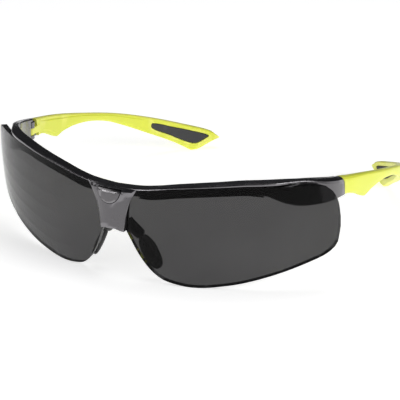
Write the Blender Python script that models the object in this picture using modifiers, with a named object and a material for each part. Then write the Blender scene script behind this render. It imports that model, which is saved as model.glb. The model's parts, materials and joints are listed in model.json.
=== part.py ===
"""Half-rim wraparound safety glasses, built as the separate pieces of the real object.

Lengths in the constants are millimetres; put() and mesh building turn them into metres.
The frame: +Z is up, the wearer looks along -Y, +X is the wearer's left. z = 0 is the table
that the lens edges and the temple tips stand on, and y = 0 is half way along the object.
"""

from math import cos, pi, radians, sin, sqrt, tan

import bmesh
import bpy
from mathutils import Matrix, Vector

MM = 0.001
GAP = 0.3  # between pieces that touch on the real object

# Overall
BRIDGE_FRONT = -5.0  # foremost point, measured from the lens's foremost point
TIP_REAR = 167.0
MID_LENGTH = (BRIDGE_FRONT + TIP_REAR) / 2

# Lens: a toric sheet, leaning so that its lower edge is nearer the cheeks
LENS_RADIUS = 91.0
LENS_UPRIGHT_RADIUS = 126.0
LENS_LEAN = radians(8.9)
LENS_MID_Z = 25.0
LENS_THICK = 2.2
LENS_TOP = [(0, 37.6), (10, 38.8), (25, 41.2), (38, 42.5), (50, 43.3), (59, 43.1), (66, 42.8),
            (69.8, 42.1), (72.0, 40.7), (73.3, 38.2), (74.3, 34.5), (74.8, 29.0)]
LENS_BOTTOM = [(0, 25.2), (3.2, 24.4), (5.4, 20.4), (9.5, 11.4), (14.0, 4.8), (18.8, 1.5), (28, 0.0),
               (41, 1.9), (54, 5.9), (66, 11.2), (71.4, 14.4), (74.0, 18.4), (74.8, 25.0)]
LENS_COLUMNS = 46
LENS_ROWS = 6
PEG_HOLE_R = 1.5

# Frame: the plan path of the face that lies behind the lens
BROW_SET_BACK = -1.4  # how far forward the leaning lens is at brow height
SEAT_DEPTH = LENS_THICK + 0.4
SEAT_RADIUS = LENS_RADIUS - SEAT_DEPTH
BEND_START = radians(39.5)
BEND_RADIUS = 38.4
SEAM_Y = 51.0
SEAM_TOP_Z = 39.8
SEAM_LOW_Z = 31.8
FRAME_SEAM_FADE = 12.0
TEMPLE_SEAM_FADE = 8.0
SEAM_LEAN = 2.3  # the seam's lower part is further back than its top
FRAME_TOP = [(0, 39.2), (10, 39.7), (16, 40.5), (25, 42.1), (38, 43.7), (51, 44.7), (62, 44.6), (72, 43.8),
             (82, 42.2), (95, 39.8)]
LIP_BOTTOM = [(0, 37.9), (10, 39.1), (25, 41.5), (38, 42.9), (51, 43.7), (62, 43.5), (68, 43.3), (72, 42.7),
              (80, 40.0), (95, 37.0)]
FRAME_BOTTOM = [(0, 35.4), (11, 35.6), (25, 38.2), (38, 39.7), (48, 40.1), (56, 38.9), (64, 35.6), (71, 33.8),
                (80, 33.1), (95, 31.8)]
FRAME_THICK = [(0, 1.8), (48, 1.8), (66, 2.6), (84, 4.0), (95, 4.0)]
LIP_REACH = [(0, 3.1), (50, 3.1), (60, 2.3), (66, 0.9), (71, 0.0), (95, 0.0)]
LIP_STEP = 1.2
LIP_FULL_REACH = 2.3
CROWN = [(0, 0.5), (70, 0.55), (88, 2.1), (95, 2.1)]  # radius of the outer top edge
FRAME_STEPS = 46
EDGE = 0.5  # chamfer on the other long edges
CROWN_TURNS = [radians(turn) for turn in (0, 30, 60, 90)]

# Bridge shield in front of the lens's web
SHIELD_HALF = [(21.7, 4.9), (26.6, 5.5), (30.2, 6.2), (32.7, 6.9), (35.2, 7.9), (38.8, 9.9), (39.2, 10.1)]
SHIELD_MID_Y = [(21.7, -3.1), (27, -3.7), (33, -4.7), (36, -5.0), (37.6, -4.8), (38.6, -4.2), (39.2, -3.3)]
SHIELD_SIDE_Y = [(21.7, -2.0), (36, -2.2), (38.2, -2.0), (39.2, -1.4)]
SHIELD_LOW_Z = 21.7
SHIELD_TOP_Z = 39.2
SHIELD_ARCH = 1.5
SHIELD_CHAMFER = 0.6
BADGE_TOP_Z = 38.9
BADGE_LOW_Z = 33.0
BADGE_HALF = 4.9
BADGE_DEPTH = 0.8
BADGE_MARGIN = 1.5  # how far past the badge the patch it is cut from reaches

# Hinge
PIVOT_X = 67.4
PIVOT_Y = 48.7
BARREL_R = 1.9
KNUCKLE_R = 1.6
KNUCKLE_LOW_Z = 33.5
KNUCKLE_HIGH_Z = 36.3
LUG_LOW_Z = 31.9
LUG_HIGH_Z = 39.0
SCREW_R = 0.7
SCREW_HEAD_R = 1.15
SCREW_HEAD_H = 0.7
INSERT_R = 1.15
INSERT_H = 1.7
RUNNING = 0.08  # radial clearance of a turning fit

# Temple, by distance from the bridge: outer face, top edge, bottom edge and thickness
TEMPLE_FRONT = SEAM_Y + GAP
TEMPLE_OUTER = [(50, 70.2), (62, 71.3), (80, 71.8), (97, 71.0), (109, 69.9), (121, 68.0), (132, 65.0),
                (144, 59.6), (156, 51.4), (167, 40.8)]
TEMPLE_TOP = [(50, 39.8), (74, 35.1), (97, 29.8), (121, 23.8), (144, 16.7), (156, 12.2), (162, 9.8), (164, 8.8),
              (165.4, 7.9), (166.3, 6.9), (166.8, 6.1), (167, 5.4)]
TEMPLE_BOTTOM = [(50, 31.8), (56, 31.5), (60, 30.7), (64, 29.4), (68.5, 27.3), (72.8, 25.8), (77, 26.6),
                 (85, 26.9), (94, 26.3), (103, 24.8), (112, 22.4), (121, 18.9), (138, 11.2), (151, 4.6),
                 (156.2, 1.1), (157.9, 0.0), (159.7, 0.0), (161.6, 0.9), (163.6, 2.4),
                 (165.2, 3.5), (166.3, 4.2), (166.8, 4.7), (167, 5.2)]
TEMPLE_CROWN = [(50, 2.1), (75, 1.2), (167, 0.8)]  # radius of the outer top edge
TEMPLE_THICK = [(50, 4.0), (60, 3.8), (80, 3.2), (110, 3.0), (140, 3.4), (167, 3.2)]
TEMPLE_STATIONS = 48
TIP_STATIONS = 16
TIP_FROM = 154.0
PANEL_RISE = 0.35  # the inner face's raised panel
PANEL_MARGIN = 1.5
PANEL_FROM = 55.0
PANEL_TO = 136.0

# Soft inlay in the inner face of each temple tip
INLAY_TOP = [(139.2, 15.1), (139.7, 15.8), (141, 15.6), (148, 13.2), (160.8, 8.4), (163.2, 7.3), (164.2, 6.5)]
INLAY_BOTTOM = [(139.2, 14.2), (139.8, 13.3), (148, 8.9), (157.2, 3.7), (159.2, 3.0), (160.8, 3.5), (162.6, 4.8),
                (164.2, 6.1)]
INLAY_DEPTH = 1.3

# Nose bracket and pads
BRACKET_HALF = 4.2
BRACKET_FLARE = 1.4  # how much wider each side is at the top
BRACKET_ARCH = 2.6
BRACKET_THICK = 1.6
BRACKET_LOW_Z = 22.0
BRACKET_HIGH_Z = 34.8
PEG_Z = 29.0
PEG_R = 1.2
PEG_FRONT = -1.7
PEG_REAR = 2.8
SOCKET_R = PEG_R + GAP
SOCKET_FRONT = -2.1
BOSS_WALL = 0.85
BOSS_FRONT = -2.6
BOSS_REAR = -1.1
PAD_POST_R = 2.2
PAD_POST_START = (3.2, 5.3, 23.8)
PAD_TOP = (8.2, 8.4, 16.8)
PAD_LOW = (13.4, 10.2, 7.4)
PAD_END = 2.0  # how far the pad's rounded ends reach past those points
PAD_WIDE = (0.55, 0.83, 0.12)  # the way the pad's face is splayed
PAD_HALF_WIDTH = 3.3
PAD_THICK = 2.2

# Brow pad: a soft strip behind and below the frame's flange
BROW_PAD_FROM = 9.5
BROW_PAD_TO = 56.0
BROW_PAD_THICK = 1.5
BROW_PAD_DROP = 1.1
BROW_PAD_RISE = 2.4
BROW_PAD_STEPS = 20


def clear_scene():
    for old in list(bpy.data.objects):
        bpy.data.objects.remove(old)


def collection(name):
    made = bpy.data.collections.new(name)
    bpy.context.scene.collection.children.link(made)
    return made


def material(name, colour, roughness, metallic=0.0, alpha=1.0):
    made = bpy.data.materials.new(name)
    made.use_nodes = True
    shader = made.node_tree.nodes["Principled BSDF"]
    shader.inputs["Base Color"].default_value = (*colour, 1)
    shader.inputs["Roughness"].default_value = roughness
    shader.inputs["Metallic"].default_value = metallic
    shader.inputs["Alpha"].default_value = alpha
    made.diffuse_color = (*colour, alpha)
    return made


def put(x, y, z):
    """A point in millimetres from the lens's foremost point, as metres in the object's frame."""
    return Vector((x, y - MID_LENGTH, z)) * MM


def along(knots, at):
    """The value at a place on a smooth curve through (place, value) knots, with no overshoot."""
    places = [k[0] for k in knots]
    values = [k[1] for k in knots]
    if at <= places[0]:
        return values[0]
    if at >= places[-1]:
        return values[-1]
    runs = [b - a for a, b in zip(places, places[1:])]
    slopes = [(b - a) / run for a, b, run in zip(values, values[1:], runs)]
    tangents = [slopes[0]]
    for before, after in zip(slopes, slopes[1:]):
        tangents.append(0 if before * after <= 0 else 2 * before * after / (before + after))
    tangents.append(slopes[-1])
    i = max(j for j in range(len(runs)) if places[j] <= at)
    t = (at - places[i]) / runs[i]
    return (values[i] * (1 + 2 * t) * (1 - t) ** 2 + tangents[i] * runs[i] * t * (1 - t) ** 2
            + values[i + 1] * t * t * (3 - 2 * t) + tangents[i + 1] * runs[i] * t * t * (t - 1))


def spread(points, count):
    """count + 1 points evenly spaced along a smooth line through the given ones."""
    lengths = [0.0]
    for a, b in zip(points, points[1:]):
        lengths.append(lengths[-1] + sqrt(sum((q - p) ** 2 for p, q in zip(a, b))))
    axes = [list(zip(lengths, column)) for column in zip(*points)]
    places = [lengths[-1] * i / count for i in range(count + 1)]
    return [tuple(along(axis, place) for axis in axes) for place in places]


def new_object(name, mesh, group, finish=None):
    made = bpy.data.objects.new(name, mesh)
    group.objects.link(made)
    if finish:
        mesh.materials.append(finish)
    return made


def from_rings(name, rings, group, finish=None, caps=(True, True)):
    """A loft: each ring is a closed section with the same number of points."""
    shape = bmesh.new()
    rows = [[shape.verts.new(point) for point in ring] for ring in rings]
    count = len(rings[0])
    for a, b in zip(rows, rows[1:]):
        for i in range(count):
            j = (i + 1) % count
            shape.faces.new((a[i], a[j], b[j], b[i]))
    for row, wanted in ((rows[0], caps[0]), (rows[-1], caps[1])):
        if wanted:
            shape.faces.new(row)
    bmesh.ops.recalc_face_normals(shape, faces=shape.faces)
    mesh = bpy.data.meshes.new(name)
    shape.to_mesh(mesh)
    shape.free()
    return new_object(name, mesh, group, finish)


def sheet(name, rows, group, finish=None):
    """An open surface from rows of points."""
    shape = bmesh.new()
    grid = [[shape.verts.new(point) for point in row] for row in rows]
    for a, b in zip(grid, grid[1:]):
        for i in range(len(a) - 1):
            shape.faces.new((a[i], a[i + 1], b[i + 1], b[i]))
    mesh = bpy.data.meshes.new(name)
    shape.to_mesh(mesh)
    shape.free()
    return new_object(name, mesh, group, finish)


def rod(name, centre, radius, low_z, high_z, group, finish=None, sides=24):
    """An upright cylinder about a plan point in millimetres."""
    shape = bmesh.new()
    bmesh.ops.create_cone(shape, cap_ends=True, segments=sides, radius1=radius * MM, radius2=radius * MM,
                          depth=(high_z - low_z) * MM)
    bmesh.ops.translate(shape, verts=shape.verts, vec=put(*centre, (low_z + high_z) / 2))
    mesh = bpy.data.meshes.new(name)
    shape.to_mesh(mesh)
    shape.free()
    return new_object(name, mesh, group, finish)


def block(name, low, high, group, finish=None):
    """A box between two corners in millimetres."""
    shape = bmesh.new()
    bmesh.ops.create_cube(shape, size=1)
    size = Vector(high) - Vector(low)
    middle = (Vector(high) + Vector(low)) / 2
    bmesh.ops.scale(shape, vec=size * MM, verts=shape.verts)
    bmesh.ops.translate(shape, verts=shape.verts, vec=put(*middle))
    mesh = bpy.data.meshes.new(name)
    shape.to_mesh(mesh)
    shape.free()
    return new_object(name, mesh, group, finish)


def set_modifier(obj, kind, **settings):
    modifier = obj.modifiers.new(kind.lower(), kind)
    for key, value in settings.items():
        setattr(modifier, key, value)
    return modifier


def thicken(obj, thickness, offset=-1):
    return set_modifier(obj, "SOLIDIFY", thickness=thickness * MM, offset=offset, use_even_offset=True)


def mirror(obj):
    return set_modifier(obj, "MIRROR", merge_threshold=0.0001)


def bake(obj):
    """Makes the evaluated shape the object's own mesh."""
    bpy.context.view_layer.update()
    graph = bpy.context.evaluated_depsgraph_get()
    mesh = bpy.data.meshes.new_from_object(obj.evaluated_get(graph))
    obj.modifiers.clear()
    obj.data = mesh
    return obj


def boolean(obj, others, operation):
    """Joins or cuts with each of the others, which are used up."""
    for other in others:
        set_modifier(obj, "BOOLEAN", operation=operation, solver="EXACT", object=other)
        bake(obj)
        bpy.data.objects.remove(other)
    return obj


def join(obj, *others):
    return boolean(obj, others, "UNION")


def cut(obj, *others):
    return boolean(obj, others, "DIFFERENCE")


def other_side(obj, name, group):
    """The same piece for the wearer's right."""
    mesh = obj.data.copy()
    mesh.transform(Matrix.Scale(-1, 4, (1, 0, 0)))
    mesh.flip_normals()
    made = bpy.data.objects.new(name, mesh)
    group.objects.link(made)
    return made


def smooth(obj, angle=35):
    obj.data.shade_smooth()
    obj.data.set_sharp_from_angle(angle=radians(angle))


# Lens

def lens_y(x, z):
    """How far back the lens's front face is, in millimetres."""
    rise = z - LENS_MID_Z
    return (LENS_RADIUS - sqrt(LENS_RADIUS ** 2 - x * x) + rise ** 2 / (2 * LENS_UPRIGHT_RADIUS)
            - rise * tan(LENS_LEAN))


def make_lens(group, tools, finish):
    top = spread(LENS_TOP, LENS_COLUMNS)
    bottom = spread(LENS_BOTTOM, LENS_COLUMNS)
    rows = []
    for r in range(LENS_ROWS + 1):
        share = r / LENS_ROWS
        row = []
        for (xt, zt), (xb, zb) in zip(top, bottom):
            x, z = xb + share * (xt - xb), zb + share * (zt - zb)
            row.append(put(x, lens_y(x, z), z))
        rows.append(row)
    lens = sheet("lens", rows, group, finish)
    mirror(lens)
    thicken(lens, LENS_THICK)
    bake(lens)
    cut(lens, cross_rod("peg_hole", PEG_HOLE_R, -8, 8, tools))
    smooth(lens, 50)
    return lens


def cross_rod(name, radius, near_y, far_y, group):
    """A cylinder along Y on the peg's axis."""
    shape = bmesh.new()
    bmesh.ops.create_cone(shape, cap_ends=True, segments=20, radius1=radius * MM, radius2=radius * MM,
                          depth=(far_y - near_y) * MM, matrix=Matrix.Rotation(pi / 2, 4, "X"))
    bmesh.ops.translate(shape, verts=shape.verts, vec=put(0, (near_y + far_y) / 2, PEG_Z))
    mesh = bpy.data.meshes.new(name)
    shape.to_mesh(mesh)
    shape.free()
    return new_object(name, mesh, group)


# Frame

BEND_X = SEAT_RADIUS * sin(BEND_START)
BEND_Y = LENS_RADIUS + BROW_SET_BACK - SEAT_RADIUS * cos(BEND_START)
ARC_LENGTH = SEAT_RADIUS * BEND_START
BEND_LENGTH = BEND_RADIUS * (pi / 2 - BEND_START)


def seat(distance):
    """The frame's seat face in plan at a distance along it from the middle: (x, y, heading)."""
    if distance <= ARC_LENGTH:
        turn = distance / SEAT_RADIUS
        return (SEAT_RADIUS * sin(turn), LENS_RADIUS + BROW_SET_BACK - SEAT_RADIUS * cos(turn), turn)
    turn = min(BEND_START + (distance - ARC_LENGTH) / BEND_RADIUS, pi / 2)
    x = BEND_X + BEND_RADIUS * (sin(turn) - sin(BEND_START))
    y = BEND_Y + BEND_RADIUS * (cos(BEND_START) - cos(turn))
    straight = max(0, distance - ARC_LENGTH - BEND_LENGTH)
    return (x, y + straight, turn)


SEAM_DISTANCE = ARC_LENGTH + BEND_LENGTH + SEAM_Y - seat(ARC_LENGTH + BEND_LENGTH)[1]


def behind(distance, depth, z):
    """A point depth millimetres behind the seat face, square to it."""
    x, y, turn = seat(distance)
    return put(x - depth * sin(turn), y + depth * cos(turn), z)


def seam_shift(z, fade):
    """How far back the seam between frame and temple is at a height, faded out away from it."""
    return SEAM_LEAN * (SEAM_TOP_Z - z) / (SEAM_TOP_Z - SEAM_LOW_Z) * fade


def frame_section(distance):
    top = along(FRAME_TOP, distance)
    lip = along(LIP_BOTTOM, distance)
    bottom = along(FRAME_BOTTOM, distance)
    thick = along(FRAME_THICK, distance)
    reach = along(LIP_REACH, distance)
    crown = along(CROWN, distance)
    step = LIP_STEP * (1 - min(1, reach / LIP_FULL_REACH))  # keeps the section's points apart where the lip ends
    fade = max(0, 1 - (SEAM_DISTANCE - distance) / FRAME_SEAM_FADE)
    rounded = [(crown * (1 - cos(turn)) - reach, top - crown * (1 - sin(turn))) for turn in CROWN_TURNS]
    outline = [(-reach, lip), *rounded, (thick - EDGE, top), (thick, top - EDGE), (thick, bottom + EDGE),
               (thick - EDGE, bottom), (EDGE, bottom), (0, bottom + EDGE), (0, lip - step)]
    ring = [behind(distance, depth, z) + Vector((0, seam_shift(z, fade) * MM, 0)) for depth, z in outline]
    if distance == 0:
        for point in ring:
            point.x = 0
    return ring


def shield_y(x, z):
    """The bridge shield's front face: crowned across and rounded back at the top."""
    side = along(SHIELD_SIDE_Y, z)
    across = min(1, abs(x) / along(SHIELD_HALF, z))
    return side + (along(SHIELD_MID_Y, z) - side) * (1 - across ** 2)


def slab(name, lines, front, rear, group):
    """A solid between two faces, each a function of (x, z), over lines of (x, z) points."""
    rings = []
    for line in lines:
        near = [put(x, front(x, z), z) for x, z in line]
        far = [put(x, rear(x, z), z) for x, z in line]
        rings.append(near + far[::-1])
    return from_rings(name, rings, group)


def make_shield(tools):
    """Solid down to the lens; its side edges are chamfered and its lower edge is a shallow arch."""
    def front(x, z):
        edge = 1 - min(1, (along(SHIELD_HALF, z) - abs(x)) / (1.4 * SHIELD_CHAMFER))
        return min(shield_y(x, z) + SHIELD_CHAMFER * edge, rear(x, z) - 0.3)

    def rear(x, z):
        return lens_y(x, z) - GAP - 0.1

    rows, columns = 16, 14
    lines = []
    for r in range(rows + 1):
        line = []
        for c in range(columns + 1):
            across = sin(pi / 2 * (2 * c / columns - 1))
            low = SHIELD_LOW_Z + SHIELD_ARCH * (1 - across ** 2)
            z = low + (SHIELD_TOP_Z - low) * r / rows
            line.append((across * along(SHIELD_HALF, z), z))
        lines.append(line)
    return slab("shield", lines, front, rear, tools)


def badge_outline(shrink=0.0, sides=18):
    """The D: a flat top and an elliptical lower edge, as (x, z)."""
    half = BADGE_HALF - shrink
    top = BADGE_TOP_Z - shrink
    deep = BADGE_TOP_Z - BADGE_LOW_Z - 2 * shrink
    points = []
    for i in range(sides + 1):
        turn = pi * i / sides
        points.append((half * cos(turn), top - deep * sin(turn)))
    return points


def badge_prism(name, near_y, far_y, shrink, group):
    outline = badge_outline(shrink)
    rings = [[put(x, y, z) for x, z in outline] for y in (near_y, far_y)]
    return from_rings(name, rings, group)


def shield_layer(name, rise, depth, group):
    """A patch of the shield's face around the badge, as a solid."""
    columns, rows = 14, 14
    lines = []
    for r in range(rows + 1):
        z = BADGE_LOW_Z - BADGE_MARGIN + (SHIELD_TOP_Z - BADGE_LOW_Z + BADGE_MARGIN) * r / rows
        lines.append([((BADGE_HALF + BADGE_MARGIN) * (2 * c / columns - 1), z) for c in range(columns + 1)])
    return slab(name, lines, lambda x, z: shield_y(x, z) - rise, lambda x, z: shield_y(x, z) + depth, group)


def make_frame(group, tools, finish):
    rings = [frame_section(SEAM_DISTANCE * i / FRAME_STEPS) for i in range(FRAME_STEPS + 1)]
    frame = from_rings("frame_front", rings, group, finish, caps=(False, True))
    mirror(frame)
    bake(frame)
    join(frame, make_shield(tools))
    join(frame, cross_rod("boss", SOCKET_R + BOSS_WALL, BOSS_FRONT, BOSS_REAR, tools))
    for side in (1, -1):
        cut(frame, inner_corner(side, tools))
        join(frame, rod("lug_barrel", (side * PIVOT_X, PIVOT_Y), BARREL_R, LUG_LOW_Z, LUG_HIGH_Z, tools))
        cut(frame, *hinge_cutters(side, tools))
    cut(frame, cross_rod("peg_socket", SOCKET_R, SOCKET_FRONT, PEG_REAR, tools))
    pocket = shield_layer("badge_pocket", 3, BADGE_DEPTH + GAP, tools)
    boolean(pocket, [badge_prism("badge_limits", -12, 12, 0, tools)], "INTERSECT")
    cut(frame, pocket)
    smooth(frame)
    return frame


def make_badge(group, tools, finish):
    badge = shield_layer("bridge_badge", 0.15, BADGE_DEPTH, group)
    limits = badge_prism("badge_limits", -12, 12, GAP, tools)
    boolean(badge, [limits], "INTERSECT")
    badge.data.materials.clear()
    badge.data.materials.append(finish)
    smooth(badge)
    return badge


# Hinge

def sided_block(name, side, low, high, group):
    """A box given for the wearer's left, made on either side."""
    ends = sorted((side * low[0], side * high[0]))
    return block(name, (ends[0], *low[1:]), (ends[1], *high[1:]), group)


def inner_corner(side, tools):
    """The inner quarter of the frame's end, where the temple's end swings past."""
    return sided_block("inner_corner", side, (PIVOT_X - 8, PIVOT_Y, LUG_LOW_Z - 2),
                       (PIVOT_X, SEAM_Y + 8, LUG_HIGH_Z + 3), tools)


def hinge_cutters(side, tools):
    """The slot for the temple's knuckle, the screw's bore, its countersink and the insert's pocket."""
    centre = (side * PIVOT_X, PIVOT_Y)
    slot = sided_block("knuckle_slot", side, (PIVOT_X - 8, PIVOT_Y - KNUCKLE_R - GAP, KNUCKLE_LOW_Z - 0.2),
                       (PIVOT_X + KNUCKLE_R + GAP, SEAM_Y + 5, KNUCKLE_HIGH_Z + 0.2), tools)
    return (slot,
            rod("screw_bore", centre, SCREW_R + 0.1, LUG_LOW_Z - 2, KNUCKLE_HIGH_Z + 0.5, tools, sides=16),
            rod("screw_seat", centre, SCREW_HEAD_R + 0.15, LUG_LOW_Z - 2, LUG_LOW_Z + SCREW_HEAD_H + 0.05, tools),
            rod("insert_pocket", centre, INSERT_R + 0.15, KNUCKLE_HIGH_Z, KNUCKLE_HIGH_Z + 0.4 + INSERT_H + GAP,
                tools))


def make_screw(group, finish):
    """A shouldered screw put in from below, its head slotted."""
    centre = (PIVOT_X, PIVOT_Y)
    screw = rod("hinge_screw_left", centre, SCREW_R, LUG_LOW_Z + SCREW_HEAD_H / 2, KNUCKLE_HIGH_Z + 1.6, group,
                finish, sides=16)
    join(screw, rod("head", centre, SCREW_HEAD_R, LUG_LOW_Z, LUG_LOW_Z + SCREW_HEAD_H - GAP / 2, group))
    slot_low = (PIVOT_X - 2, PIVOT_Y - 0.2, LUG_LOW_Z - 1)
    slot_high = (PIVOT_X + 2, PIVOT_Y + 0.2, LUG_LOW_Z + 0.25)
    cut(screw, block("driver_slot", slot_low, slot_high, group))
    smooth(screw)
    return screw


def make_insert(group, finish):
    """The brass bush, sealed in the frame's upper lug, that the screw threads into."""
    centre = (PIVOT_X, PIVOT_Y)
    low = KNUCKLE_HIGH_Z + 0.4
    insert = rod("hinge_insert_left", centre, INSERT_R, low, low + INSERT_H, group, finish)
    cut(insert, rod("thread", centre, SCREW_R + 0.06, low - 1, low + INSERT_H + 1, group, sides=16))
    smooth(insert)
    return insert


# Temple

def temple_section(y):
    outer = along(TEMPLE_OUTER, y)
    top = along(TEMPLE_TOP, y)
    bottom = along(TEMPLE_BOTTOM, y)
    thick = along(TEMPLE_THICK, y)
    lean = along(TEMPLE_OUTER, y + 0.5) - along(TEMPLE_OUTER, y - 0.5)  # outer face's slope in plan
    across = Vector((-1, lean)).normalized()
    tall = top - bottom
    edge = min(0.9, tall * 0.25)
    crown = min(along(TEMPLE_CROWN, y), tall * 0.3)
    margin = min(PANEL_MARGIN, tall * 0.2)
    rise = PANEL_RISE * max(0, min(1, (y - PANEL_FROM) / 3, (PANEL_TO - y) / 6))
    fade = max(0, 1 - (y - TEMPLE_FRONT) / TEMPLE_SEAM_FADE)
    inner = thick - rise
    rounded = [(crown * (1 - cos(turn)), top - crown * (1 - sin(turn))) for turn in reversed(CROWN_TURNS)]
    outline = [(0.0, (top + bottom) / 2), (0.3, bottom + edge), (0.3 + edge * 0.8, bottom), (inner - 0.5, bottom),
               (inner, bottom + 0.5 * edge), (inner, bottom + margin), (thick, bottom + margin + rise),
               (thick, top - margin - rise), (inner, top - margin), (inner, top - 0.5 * edge), (inner - 0.5, top),
               *rounded]
    return [put(outer + depth * across.x, y + depth * across.y + seam_shift(z, fade), z) for depth, z in outline]


def temple_stations():
    """Closer together at the rounded tip."""
    body = [TEMPLE_FRONT + (TIP_FROM - TEMPLE_FRONT) * i / TEMPLE_STATIONS for i in range(TEMPLE_STATIONS)]
    tip = [TIP_FROM + (TIP_REAR - TIP_FROM) * sin(pi / 2 * i / TIP_STATIONS) for i in range(TIP_STATIONS + 1)]
    return body + tip


def inlay_face(name, rise, depth, shrink, group):
    """The inlay's outline laid on the temple's inner face, and given thickness square to it."""
    count = 22
    first, last = INLAY_TOP[0][0] + shrink, INLAY_TOP[-1][0] - shrink
    rings = []
    for i in range(count + 1):
        y = first + (last - first) * (1 - cos(pi * i / count)) / 2
        outer = along(TEMPLE_OUTER, y)
        lean = along(TEMPLE_OUTER, y + 0.5) - along(TEMPLE_OUTER, y - 0.5)
        across = Vector((-1, lean)).normalized()
        thick = along(TEMPLE_THICK, y)
        top = along(INLAY_TOP, y) - shrink
        bottom = along(INLAY_BOTTOM, y) + shrink
        outline = ((thick - depth, bottom), (thick + rise, bottom), (thick + rise, top), (thick - depth, top))
        rings.append([put(outer + d * across.x, y + d * across.y, z) for d, z in outline])
    return from_rings(name, rings, group)


def make_temple(group, tools, finish):
    temple = from_rings("temple_left", [temple_section(y) for y in temple_stations()], group, finish)
    centre = (PIVOT_X, PIVOT_Y)
    knuckle = rod("knuckle", centre, KNUCKLE_R, KNUCKLE_LOW_Z, KNUCKLE_HIGH_Z, tools)
    neck = block("neck", (PIVOT_X - 1.1, PIVOT_Y, KNUCKLE_LOW_Z), (PIVOT_X + KNUCKLE_R - 0.1, TEMPLE_FRONT + 3.5,
                                                                  KNUCKLE_HIGH_Z), tools)
    join(temple, knuckle, neck)
    cut(temple, rod("knuckle_bore", centre, SCREW_R + RUNNING, KNUCKLE_LOW_Z - 1, KNUCKLE_HIGH_Z + 1, tools,
                    sides=16))
    cut(temple, inlay_face("inlay_pocket", 2, INLAY_DEPTH, 0, tools))
    smooth(temple)
    return temple


def make_inlay(group, finish):
    inlay = inlay_face("tip_inlay_left", -0.1, INLAY_DEPTH - GAP, GAP, group)
    inlay.data.materials.append(finish)
    smooth(inlay)
    return inlay


# Nose bracket and pads

def make_bracket(group, tools, finish):
    """A saddle behind the lens's web, with a peg through the lens and a post for each pad."""
    rows, columns = 8, 6
    grid = []
    for r in range(rows + 1):
        line = []
        for c in range(columns + 1):
            across = 2 * c / columns - 1
            low = BRACKET_LOW_Z + BRACKET_ARCH * (1 - across ** 2)
            z = low + (BRACKET_HIGH_Z - low) * r / rows
            x = across * (BRACKET_HALF + BRACKET_FLARE * (r / rows) ** 2)
            line.append(put(x, lens_y(x, z) + LENS_THICK + GAP + 0.1, z))
        grid.append(line)
    bracket = sheet("nose_bracket", grid, group, finish)
    thicken(bracket, BRACKET_THICK)
    bake(bracket)
    join(bracket, cross_rod("peg", PEG_R, PEG_FRONT, PEG_REAR, tools))
    for side in (1, -1):
        join(bracket, pad_post(side, tools))
    smooth(bracket)
    return bracket


def bar(name, start, end, radius, group, sides=16):
    """A round bar between two points in millimetres, rounded at its far end."""
    a, b = put(*start), put(*end)
    axis = (b - a).normalized()
    side = axis.cross(Vector((0, 0, 1))).normalized() * radius * MM
    up = side.cross(axis)
    turns = [2 * pi * k / sides for k in range(sides)]
    rings = []
    for share, scale in ((0, 1), (0.8, 1), (0.93, 0.94), (1, 0.8)):
        centre = a.lerp(b, share)
        rings.append([centre + (side * cos(turn) + up * sin(turn)) * scale for turn in turns])
    return from_rings(name, rings, group)


def pad_post(side, tools):
    """Reaches to the pad's upper end, where the pad is moulded on."""
    top, low = Vector(PAD_TOP), Vector(PAD_LOW)
    end = top - (low - top).normalized() * (PAD_END - GAP)
    return bar("post", (side * PAD_POST_START[0], *PAD_POST_START[1:]), (side * end.x, end.y, end.z), PAD_POST_R,
               tools)


def make_pad(group, finish):
    """A soft oval wing, dished towards the nose, set to splay down and back."""
    top, low = Vector(PAD_TOP), Vector(PAD_LOW)
    run = low - top
    length = run.length
    down = run.normalized()
    wide = Vector(PAD_WIDE)
    wide = (wide - down * wide.dot(down)).normalized()
    face = wide.cross(down).normalized()
    steps, sides = 12, 12
    rings = []
    for i in range(steps + 1):
        turn = pi * (0.04 + 0.92 * i / steps)
        place = top + down * (length / 2 + GAP - (length / 2 + PAD_END - GAP) * cos(turn))
        grow = sin(turn) ** 0.7
        ring = []
        for k in range(sides):
            angle = 2 * pi * k / sides
            u = cos(angle) * PAD_HALF_WIDTH * grow
            w = sin(angle) * PAD_THICK / 2 * grow ** 0.5
            point = place + wide * u + face * (w + 0.02 * u * u)
            ring.append(put(*point))
        rings.append(ring)
    pad = from_rings("nose_pad_left", rings, group, finish)
    smooth(pad, 60)
    return pad


# Brow pad

def make_brow_pad(group, finish):
    rings = []
    for i in range(BROW_PAD_STEPS + 1):
        distance = BROW_PAD_FROM + (BROW_PAD_TO - BROW_PAD_FROM) * i / BROW_PAD_STEPS
        fade = sin(pi * (0.04 + 0.92 * i / BROW_PAD_STEPS)) ** 0.6
        bottom = along(FRAME_BOTTOM, distance)
        thick = along(FRAME_THICK, distance) + GAP
        rear = thick + BROW_PAD_THICK * fade
        drop = BROW_PAD_DROP * fade
        outline = ((0.1, bottom - GAP), (0.1, bottom - GAP - drop + 0.2), (0.3, bottom - GAP - drop),
                   (rear - 0.5, bottom - GAP - drop), (rear, bottom - GAP - drop + 0.5),
                   (rear, bottom + BROW_PAD_RISE * fade - 0.5), (rear - 0.5, bottom + BROW_PAD_RISE * fade),
                   (thick, bottom + BROW_PAD_RISE * fade), (thick, bottom - GAP))
        rings.append([behind(distance, depth, z) for depth, z in outline])
    pad = from_rings("brow_pad_left", rings, group, finish)
    smooth(pad)
    return pad


def on_axis(name, side, group, members):
    """Hangs the members on an empty that stands on the hinge's axis."""
    empty = bpy.data.objects.new(name, None)
    group.objects.link(empty)
    empty.location = put(side * PIVOT_X, PIVOT_Y, KNUCKLE_LOW_Z)
    bpy.context.view_layer.update()
    for member in members:
        member.parent = empty
        member.matrix_parent_inverse = empty.matrix_world.inverted()


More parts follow.
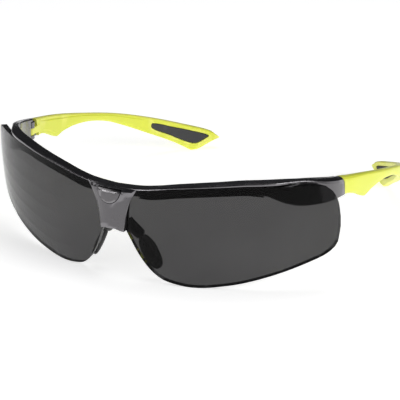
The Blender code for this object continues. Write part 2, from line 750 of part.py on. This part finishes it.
def main():
    clear_scene()
    group = collection("safety_glasses")
    tools = collection("cutters")
    gunmetal = material("gunmetal", (0.16, 0.155, 0.165), 0.3, 0.7)
    smoke = material("smoke_lens", (0.07, 0.07, 0.07), 0.05, 0.0, 0.85)
    lime = material("lime_plastic", (0.72, 0.85, 0.05), 0.35)
    charcoal = material("charcoal_rubber", (0.05, 0.05, 0.06), 0.7)
    black = material("black_rubber", (0.015, 0.015, 0.015), 0.6)
    clear = material("soft_grey", (0.25, 0.25, 0.25), 0.5)
    steel = material("steel", (0.5, 0.5, 0.5), 0.3, 1.0)
    brass = material("brass", (0.7, 0.55, 0.25), 0.3, 1.0)
    nylon = material("dark_nylon", (0.03, 0.03, 0.03), 0.5)

    make_frame(group, tools, gunmetal)
    make_lens(group, tools, smoke)
    make_badge(group, tools, gunmetal)
    make_bracket(group, tools, nylon)
    sided = {
        "temple": make_temple(group, tools, lime),
        "tip_inlay": make_inlay(group, charcoal),
        "hinge_screw": make_screw(group, steel),
        "hinge_insert": make_insert(group, brass),
        "nose_pad": make_pad(group, clear),
        "brow_pad": make_brow_pad(group, black),
    }
    right = {kind: other_side(obj, f"{kind}_right", group) for kind, obj in sided.items()}
    on_axis("temple_left_axis", 1, group, [sided["temple"], sided["tip_inlay"]])
    on_axis("temple_right_axis", -1, group, [right["temple"], right["tip_inlay"]])


main()
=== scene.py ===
"""Looks for the wraparound safety glasses: materials, softened edges, studio and camera.

Lengths are metres in the object's frame: +Z up, the wearer looks along -Y, +X is their left.
"""

import json
from math import cos, radians, sin

import bpy
from mathutils import Matrix, Vector


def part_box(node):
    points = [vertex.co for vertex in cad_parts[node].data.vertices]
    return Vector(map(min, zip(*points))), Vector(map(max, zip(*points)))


WELD_DISTANCE = 0.00001
EDGE_SOFTENING = 0.0001
EDGE_SEGMENTS = 2
EDGE_ANGLE = radians(40)

# Camera
AZIMUTH = radians(26.43)
ELEVATION = radians(20.01)
ROLL = radians(1.80)
DISTANCE = 0.7033
AIM = Vector((0.0059, -0.0217, 0.0157))
FOCAL_LENGTH = 158.1  # millimetres
SENSOR_WIDTH = 36  # millimetres

# Studio
WORLD_COLOUR = (0.9, 0.92, 1.0, 1)
WORLD_STRENGTH = 0.05
FLOOR_SIZE = 8
FLOOR_GLOW = 0.62
SOFTBOXES = [
    {"name": "side", "place": (1.35, -0.1, 0.5), "aim": (0, 0, 0.02),
     "width": 0.9, "height": 0.7, "power": 12},
    {"name": "front_strip", "place": (-0.66, -1.35, 0.40), "aim": (0, 0, 0.03),
     "width": 1.0, "height": 0.24, "power": 6},
    {"name": "left_fill", "place": (-1.1, -0.9, 1.0), "aim": (0, 0, 0.02),
     "width": 0.8, "height": 0.8, "power": 3},
    {"name": "overhead", "place": (0, 0.25, 1.9), "aim": (0, 0, 0),
     "width": 1.2, "height": 1.0, "power": 8},
]

# Finishes
LENS_PLAN_RADIUS = 0.091  # the lens's curve seen from above
RIM_FACING = (0.6, 0.85)  # how squarely a face looks at the axis, from all rim to none
CONVEX_POINTINESS = (0.52, 0.6)  # from no edge to a full edge

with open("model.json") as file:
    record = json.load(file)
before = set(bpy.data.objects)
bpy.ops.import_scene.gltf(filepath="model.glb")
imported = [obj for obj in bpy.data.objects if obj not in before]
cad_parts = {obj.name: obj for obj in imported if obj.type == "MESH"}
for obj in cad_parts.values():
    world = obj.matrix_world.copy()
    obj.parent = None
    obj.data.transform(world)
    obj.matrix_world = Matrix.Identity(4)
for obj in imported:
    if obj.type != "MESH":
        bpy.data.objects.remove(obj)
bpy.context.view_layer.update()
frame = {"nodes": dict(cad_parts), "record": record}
nodes = frame["nodes"]


def build_camera():
    right = Vector((cos(AZIMUTH), sin(AZIMUTH), 0))
    back = Vector((sin(AZIMUTH) * cos(ELEVATION), -cos(AZIMUTH) * cos(ELEVATION), sin(ELEVATION)))
    up = back.cross(right)
    rolled_right = right * cos(ROLL) + up * sin(ROLL)
    rolled_up = up * cos(ROLL) - right * sin(ROLL)
    data = bpy.data.cameras.new("camera")
    data.lens = FOCAL_LENGTH
    data.sensor_width = SENSOR_WIDTH
    camera = bpy.data.objects.new("camera", data)
    place = Matrix((rolled_right, rolled_up, back)).transposed().to_4x4()
    place.translation = AIM + back * DISTANCE
    camera.matrix_world = place
    bpy.context.scene.collection.objects.link(camera)
    bpy.context.scene.camera = camera


def softbox(name, place, aim, width, height, power):
    data = bpy.data.lights.new(name, "AREA")
    data.shape = "RECTANGLE"
    data.size = width
    data.size_y = height
    data.energy = power
    light = bpy.data.objects.new(name, data)
    light.location = place
    light.rotation_euler = (Vector(place) - Vector(aim)).to_track_quat("Z", "Y").to_euler()
    bpy.context.scene.collection.objects.link(light)


def build_world():
    world = bpy.data.worlds.new("studio")
    bpy.context.scene.world = world
    world.use_nodes = True
    background = world.node_tree.nodes["Background"]
    background.inputs["Color"].default_value = WORLD_COLOUR
    background.inputs["Strength"].default_value = WORLD_STRENGTH


def build_floor():
    bpy.ops.mesh.primitive_plane_add(size=FLOOR_SIZE, location=(0, 0, 0))
    floor = bpy.context.object
    floor.name = "floor"
    finish = Finish("floor_paper", (0.86, 0.86, 0.86), 0.9)
    finish.vary_colour(finish.noise(40, 4), (0.85, 0.85, 0.85), (0.87, 0.87, 0.87))
    finish.set("Emission Color", (1, 1, 1, 1))
    finish.set("Emission Strength", FLOOR_GLOW)
    floor.data.materials.append(finish.material)


def build_studio():
    bpy.context.scene.view_settings.view_transform = "Standard"
    build_world()
    build_floor()
    for light in SOFTBOXES:
        softbox(**light)


# Materials

class Finish:
    """A Principled material with helpers for procedural detail in object coordinates (metres)."""

    def __init__(self, name, colour, roughness, metallic=0.0):
        self.material = bpy.data.materials.new(name)
        self.material.use_nodes = True
        self.tree = self.material.node_tree
        self.shader = self.tree.nodes["Principled BSDF"]
        self.set("Base Color", (*colour, 1))
        self.set("Roughness", roughness)
        self.set("Metallic", metallic)
        self.place = self.node("ShaderNodeTexCoord").outputs["Object"]

    def node(self, kind, **settings):
        made = self.tree.nodes.new(kind)
        for key, value in settings.items():
            setattr(made, key, value)
        return made

    def link(self, source, target):
        self.tree.links.new(source, target)

    def set(self, socket, value):
        self.shader.inputs[socket].default_value = value

    def noise(self, scale, detail=3, stretch=(1, 1, 1)):
        """Noise with features about 1/scale metres across."""
        mapping = self.node("ShaderNodeMapping")
        mapping.inputs["Scale"].default_value = stretch
        self.link(self.place, mapping.inputs["Vector"])
        made = self.node("ShaderNodeTexNoise")
        made.inputs["Scale"].default_value = scale
        made.inputs["Detail"].default_value = detail
        self.link(mapping.outputs["Vector"], made.inputs["Vector"])
        return made.outputs["Fac"]

    def remap(self, value, low, high, new_low, new_high):
        made = self.node("ShaderNodeMapRange")
        self.link(value, made.inputs["Value"])
        numbers = {"From Min": low, "From Max": high, "To Min": new_low, "To Max": new_high}
        for socket, number in numbers.items():
            made.inputs[socket].default_value = number
        return made.outputs["Result"]

    def blend(self, share, first, second):
        """Mixes two colours, each a tuple or a socket."""
        made = self.node("ShaderNodeMix", data_type="RGBA")
        self.link(share, made.inputs[0])
        for socket, colour in ((made.inputs[6], first), (made.inputs[7], second)):
            if isinstance(colour, tuple):
                socket.default_value = (*colour[:3], 1)
            else:
                self.link(colour, socket)
        return made.outputs[2]

    def vary_colour(self, share, first, second):
        self.link(self.blend(share, first, second), self.shader.inputs["Base Color"])

    def vary_roughness(self, value, low, high):
        self.link(self.remap(value, 0.3, 0.7, low, high), self.shader.inputs["Roughness"])

    def bump(self, value, height, strength=1.0):
        made = self.node("ShaderNodeBump")
        made.inputs["Distance"].default_value = height
        made.inputs["Strength"].default_value = strength
        self.link(value, made.inputs["Height"])
        self.link(made.outputs["Normal"], self.shader.inputs["Normal"])

    def rim(self, centre):
        """1 on faces that look neither towards nor away from the upright axis through the centre, else 0."""
        out = self.node("ShaderNodeVectorMath", operation="SUBTRACT")
        self.link(self.place, out.inputs[0])
        out.inputs[1].default_value = centre
        level = self.node("ShaderNodeVectorMath", operation="MULTIPLY")
        self.link(out.outputs["Vector"], level.inputs[0])
        level.inputs[1].default_value = (1, 1, 0)
        unit = self.node("ShaderNodeVectorMath", operation="NORMALIZE")
        self.link(level.outputs["Vector"], unit.inputs[0])
        facing = self.node("ShaderNodeVectorMath", operation="DOT_PRODUCT")
        self.link(unit.outputs["Vector"], facing.inputs[0])
        self.link(self.node("ShaderNodeNewGeometry").outputs["Normal"], facing.inputs[1])
        size = self.node("ShaderNodeMath", operation="ABSOLUTE")
        self.link(facing.outputs["Value"], size.inputs[0])
        return self.remap(size.outputs["Value"], *RIM_FACING, 1, 0)

    def edges(self):
        """1 on convex edges, 0 elsewhere."""
        pointiness = self.node("ShaderNodeNewGeometry").outputs["Pointiness"]
        return self.remap(pointiness, *CONVEX_POINTINESS, 0, 1)


def gunmetal(name, dark, light):
    finish = Finish(name, dark, 0.25, 1.0)
    flakes = finish.noise(9000, 1)
    cloud = finish.noise(120, 3)
    base = finish.blend(finish.remap(flakes, 0.35, 0.7, 0, 1), dark, light)
    # Painted highlight: convex edges lightened towards 1.4 times the light colour.
    finish.vary_colour(finish.edges(), base, tuple(min(1, 1.4 * c) for c in light))
    finish.vary_roughness(cloud, 0.2, 0.3)
    finish.bump(flakes, 0.000004, 0.1)
    finish.set("Coat Weight", 0.35)
    finish.set("Coat Roughness", 0.08)
    return finish.material


def smoke_lens():
    """Tinted and clear to look through, with darker rims where the light's way is longer."""
    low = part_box("lens")[0]
    finish = Finish("smoke_lens", (0.07, 0.07, 0.07), 0.0)
    finish.set("Transmission Weight", 1.0)
    finish.set("IOR", 1.17)
    smears = finish.noise(60, 4, (1, 1, 0.4))
    tint = finish.blend(finish.remap(smears, 0.3, 0.7, 0, 1), (0.070, 0.069, 0.070), (0.076, 0.075, 0.076))
    # Painted shade: faces at the rim, seen edge-on, darkened towards near black in place of the light lost on
    # its longer way through the lens.
    finish.vary_colour(finish.rim((0, low[1] + LENS_PLAN_RADIUS, 0)), tint, (0.012, 0.012, 0.012))
    finish.vary_roughness(smears, 0.0, 0.006)
    return finish.material


def smoke_silicone():
    finish = Finish("smoke_silicone", (0.12, 0.12, 0.12), 0.3)
    finish.set("Transmission Weight", 0.6)
    finish.set("IOR", 1.2)
    cloud = finish.noise(200, 3)
    finish.vary_colour(cloud, (0.10, 0.10, 0.10), (0.15, 0.15, 0.15))
    finish.vary_roughness(cloud, 0.2, 0.35)
    finish.bump(finish.noise(2500, 2), 0.00003, 0.4)
    return finish.material


def lime_plastic():
    finish = Finish("lime_plastic", (0.78, 0.83, 0.06), 0.36)
    cloud = finish.noise(90, 3)
    grain = finish.noise(5000, 2)
    base = finish.blend(cloud, (0.76, 0.82, 0.05), (0.80, 0.84, 0.075))
    # Painted highlight: convex edges lightened to a paler lime.
    finish.vary_colour(finish.edges(), base, (0.88, 0.90, 0.15))
    finish.vary_roughness(cloud, 0.3, 0.42)
    finish.bump(grain, 0.00002, 0.25)
    finish.set("Subsurface Weight", 0.15)
    finish.set("Subsurface Radius", (0.0015, 0.0018, 0.0003))
    finish.set("Subsurface Scale", 1.0)
    return finish.material


def rubber(name, colour, roughness=0.62, grain_height=0.00004):
    finish = Finish(name, colour, roughness)
    grain = finish.noise(3500, 3)
    dust = finish.noise(150, 4)
    base = finish.blend(finish.remap(dust, 0.45, 0.75, 0, 0.5), colour, tuple(0.02 + 1.15 * c for c in colour))
    # Painted highlight: convex edges lightened to 1.3 times the colour plus a little.
    finish.vary_colour(finish.edges(), base, tuple(0.02 + 1.3 * c for c in colour))
    finish.vary_roughness(dust, roughness - 0.06, roughness + 0.1)
    finish.bump(grain, grain_height, 0.5)
    return finish.material


def turned_metal(name, colour, roughness):
    finish = Finish(name, colour, roughness, 1.0)
    rings = finish.noise(700, 2, (1, 1, 12))
    finish.vary_colour(rings, tuple(0.85 * c for c in colour), colour)
    finish.vary_roughness(rings, roughness - 0.06, roughness + 0.1)
    finish.bump(rings, 0.00002, 0.4)
    return finish.material


def build_materials():
    return {
        "gunmetal": gunmetal("gunmetal", (0.10, 0.095, 0.10), (0.145, 0.14, 0.147)),
        "gunmetal_badge": gunmetal("gunmetal_badge", (0.105, 0.10, 0.105), (0.15, 0.145, 0.15)),
        "smoke_lens": smoke_lens(),
        "lime_plastic": lime_plastic(),
        "charcoal_rubber": rubber("charcoal_rubber", (0.03, 0.03, 0.033)),
        "black_rubber": rubber("black_rubber", (0.012, 0.012, 0.012)),
        "nose_pad_rubber": smoke_silicone(),
        "dark_nylon": rubber("dark_nylon", (0.02, 0.02, 0.02), 0.45, 0.00002),
        "screw_steel": turned_metal("screw_steel", (0.42, 0.42, 0.43), 0.3),
        "insert_brass": turned_metal("insert_brass", (0.7, 0.53, 0.24), 0.3),
    }


def dress_nodes(materials):
    """Gives every CAD node the finish of its slot and soft, evenly shaded edges."""
    slots = {part["node"]: part["material_slot"] for part in frame["record"]["subparts"]}
    for name, obj in nodes.items():
        obj.data.materials.clear()
        obj.data.materials.append(materials[slots[name]])
        weld = obj.modifiers.new("weld", "WELD")
        weld.merge_threshold = WELD_DISTANCE
        bevel = obj.modifiers.new("soft_edges", "BEVEL")
        bevel.width = EDGE_SOFTENING
        bevel.segments = EDGE_SEGMENTS
        bevel.limit_method = "ANGLE"
        bevel.angle_limit = EDGE_ANGLE
        bevel.harden_normals = True


build_camera()
build_studio()
dress_nodes(build_materials())
